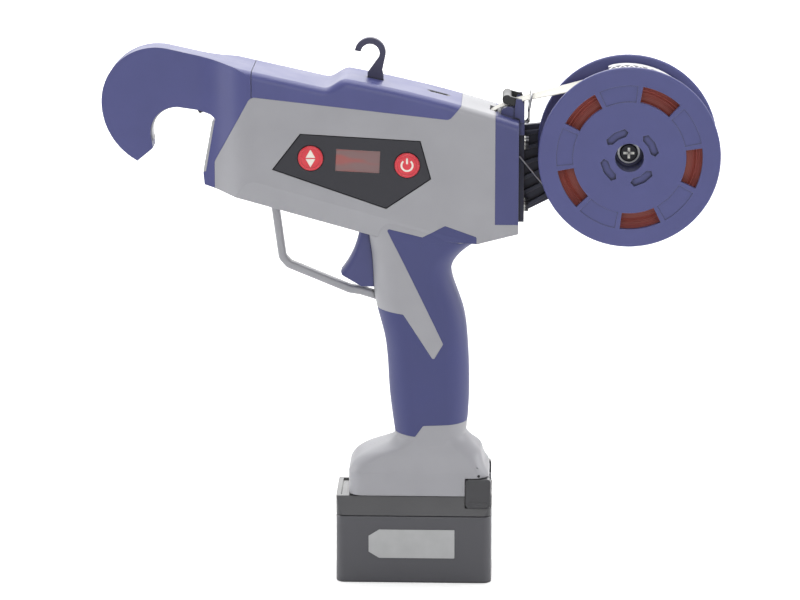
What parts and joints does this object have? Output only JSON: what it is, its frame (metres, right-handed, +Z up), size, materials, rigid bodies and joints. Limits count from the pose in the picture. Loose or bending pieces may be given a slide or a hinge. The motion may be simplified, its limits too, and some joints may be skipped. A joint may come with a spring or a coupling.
{
  "type": "electric vine tying tool",
  "caption": "Handheld battery tool that loops tape from a rear spool round a vine with a hooked nose, twists and cuts it; pistol grip, guarded trigger, side display and slide-off pack.",
  "frame": {"origin": "centre of the battery pack's base, on the surface that the tool stands on", "axes": "+X from the hook nose to the tape spool, +Y away from the display side, +Z up"},
  "size_m": [0.341, 0.0561, 0.3072],
  "materials": {
    "blue_plastic": "satin, fine grain",
    "grip_rubber": "soft, matte",
    "grey_plastic": "satin, fine grain",
    "dark_plastic": "satin",
    "arm_plastic": "satin",
    "black_plastic": "semi gloss",
    "panel_black": "semi gloss",
    "button_red": "semi gloss",
    "window_red": "gloss, tinted",
    "steel": "brushed",
    "motor_steel": "rolled",
    "black_steel": "black oxide",
    "gear_brass": "machined",
    "roll_tape": "matte",
    "paper": "matte paper",
    "label_plate": "satin",
    "board": "solder mask",
    "cell_case": "shrink film",
    "contact_metal": "plated",
    "channel_plastic": "plain moulding"
  },
  "bodies": {
    "frame": {"left_housing": "grey_plastic", "right_housing": "grey_plastic", "left_grip": "grip_rubber", "right_grip": "grip_rubber", "left_head": "blue_plastic", "right_head": "blue_plastic", "top_cover": "blue_plastic", "rear_cap": "blue_plastic", "hook_track": "steel", "face_plate": "steel", "exit_tooth": "black_plastic", "hanging_hook": "dark_plastic", "slot_liner": "black_plastic", "inlet_ears": "blue_plastic", "guide_loop": "steel", "tape_run": "paper", "roll_wrap": "paper", "drag_wire": "steel", "spool_arm": "arm_plastic", "arm_screws": "steel", "spool_axle": "steel", "axle_washer": "steel", "axle_screw": "black_steel", "housing_screws": "steel", "head_screws": "steel", "display_bezel": "panel_black", "display_window": "window_red", "display_module": "black_plastic", "control_board": "board", "trigger_switch": "black_plastic", "twister_bush": "gear_brass", "twist_gearmotor": "motor_steel", "tape_channel": "channel_plastic", "cutter_solenoid": "motor_steel", "feed_motor": "motor_steel", "mechanism_frame": "steel", "terminal_block": "black_plastic", "contact_blades": "contact_metal"},
    "spool": {"spool_front": "blue_plastic", "spool_rear": "blue_plastic", "tape_roll": "roll_tape"},
    "trigger": {"trigger": "blue_plastic"},
    "mode_button": {"mode_button": "button_red"},
    "power_button": {"power_button": "button_red"},
    "presser": {"presser_arm": "black_plastic"},
    "feed": {"feed_roller": "grip_rubber", "feed_gear": "gear_brass"},
    "pinion": {"feed_pinion": "gear_brass"},
    "idler": {"idler_roller": "steel"},
    "twister": {"twister": "steel"},
    "cutter": {"cutter_blade": "steel"},
    "battery": {"battery_tub": "dark_plastic", "battery_lid": "dark_plastic", "battery_label": "label_plate", "battery_terminals": "contact_metal", "cells": "cell_case", "cell_holders": "black_plastic"},
    "left_latch": {"left_latch": "dark_plastic"},
    "right_latch": {"right_latch": "dark_plastic"}
  },
  "joints": [
    {"name": "spool_spin", "type": "hinge", "parent": "frame", "child": "spool", "pos_m": [0.118, 0, 0.245], "axis": [0, 1, 0], "continuous": true},
    {"name": "trigger_pull", "type": "slide", "parent": "frame", "child": "trigger", "axis": [1, 0, 0], "range_m": [0, 0.0055], "stiffness_N_per_m": 500},
    {"name": "mode_button_press", "type": "slide", "parent": "frame", "child": "mode_button", "axis": [0, 1, 0], "range_m": [0, 0.0008], "stiffness_N_per_m": 1500},
    {"name": "power_button_press", "type": "slide", "parent": "frame", "child": "power_button", "axis": [0, 1, 0], "range_m": [0, 0.0008], "stiffness_N_per_m": 1500},
    {"name": "presser_lift", "type": "hinge", "parent": "frame", "child": "presser", "pos_m": [0.0573, 0, 0.273], "axis": [0, 1, 0], "range_deg": [0, 70], "stiffness_Nm_per_rad": 0.01},
    {"name": "feed_roller_spin", "type": "hinge", "parent": "frame", "child": "feed", "pos_m": [-0.02, 0, 0.25688], "axis": [0, 1, 0], "continuous": true},
    {"name": "pinion_spin", "type": "hinge", "parent": "frame", "child": "pinion", "pos_m": [-0.0018, 0, 0.24366], "axis": [0, 1, 0], "continuous": true},
    {"name": "idler_spin", "type": "hinge", "parent": "frame", "child": "idler", "pos_m": [-0.02, 0, 0.27158], "axis": [0, 1, 0], "continuous": true},
    {"name": "twister_spin", "type": "hinge", "parent": "frame", "child": "twister", "pos_m": [-0.11281, 0, 0.24801], "axis": [0.9829, 0, -0.184], "continuous": true},
    {"name": "cutter_slide", "type": "slide", "parent": "frame", "child": "cutter", "axis": [0, 0, 1], "range_m": [0, 0.0045], "stiffness_N_per_m": 400},
    {"name": "battery_slide", "type": "slide", "parent": "frame", "child": "battery", "axis": [1, 0, 0], "range_m": [0, 0.075]},
    {"name": "left_latch_press", "type": "slide", "parent": "battery", "child": "left_latch", "axis": [0, 1, 0], "range_m": [0, 0.0025], "stiffness_N_per_m": 1200},
    {"name": "right_latch_press", "type": "slide", "parent": "battery", "child": "right_latch", "axis": [0, -1, 0], "range_m": [0, 0.0025], "stiffness_N_per_m": 1200}
  ],
  "couplings": [
    {"joint": "pinion_spin", "follows": "feed_roller_spin", "ratio": -2.5},
    {"joint": "idler_spin", "follows": "feed_roller_spin", "ratio": -1.3333}
  ]
}
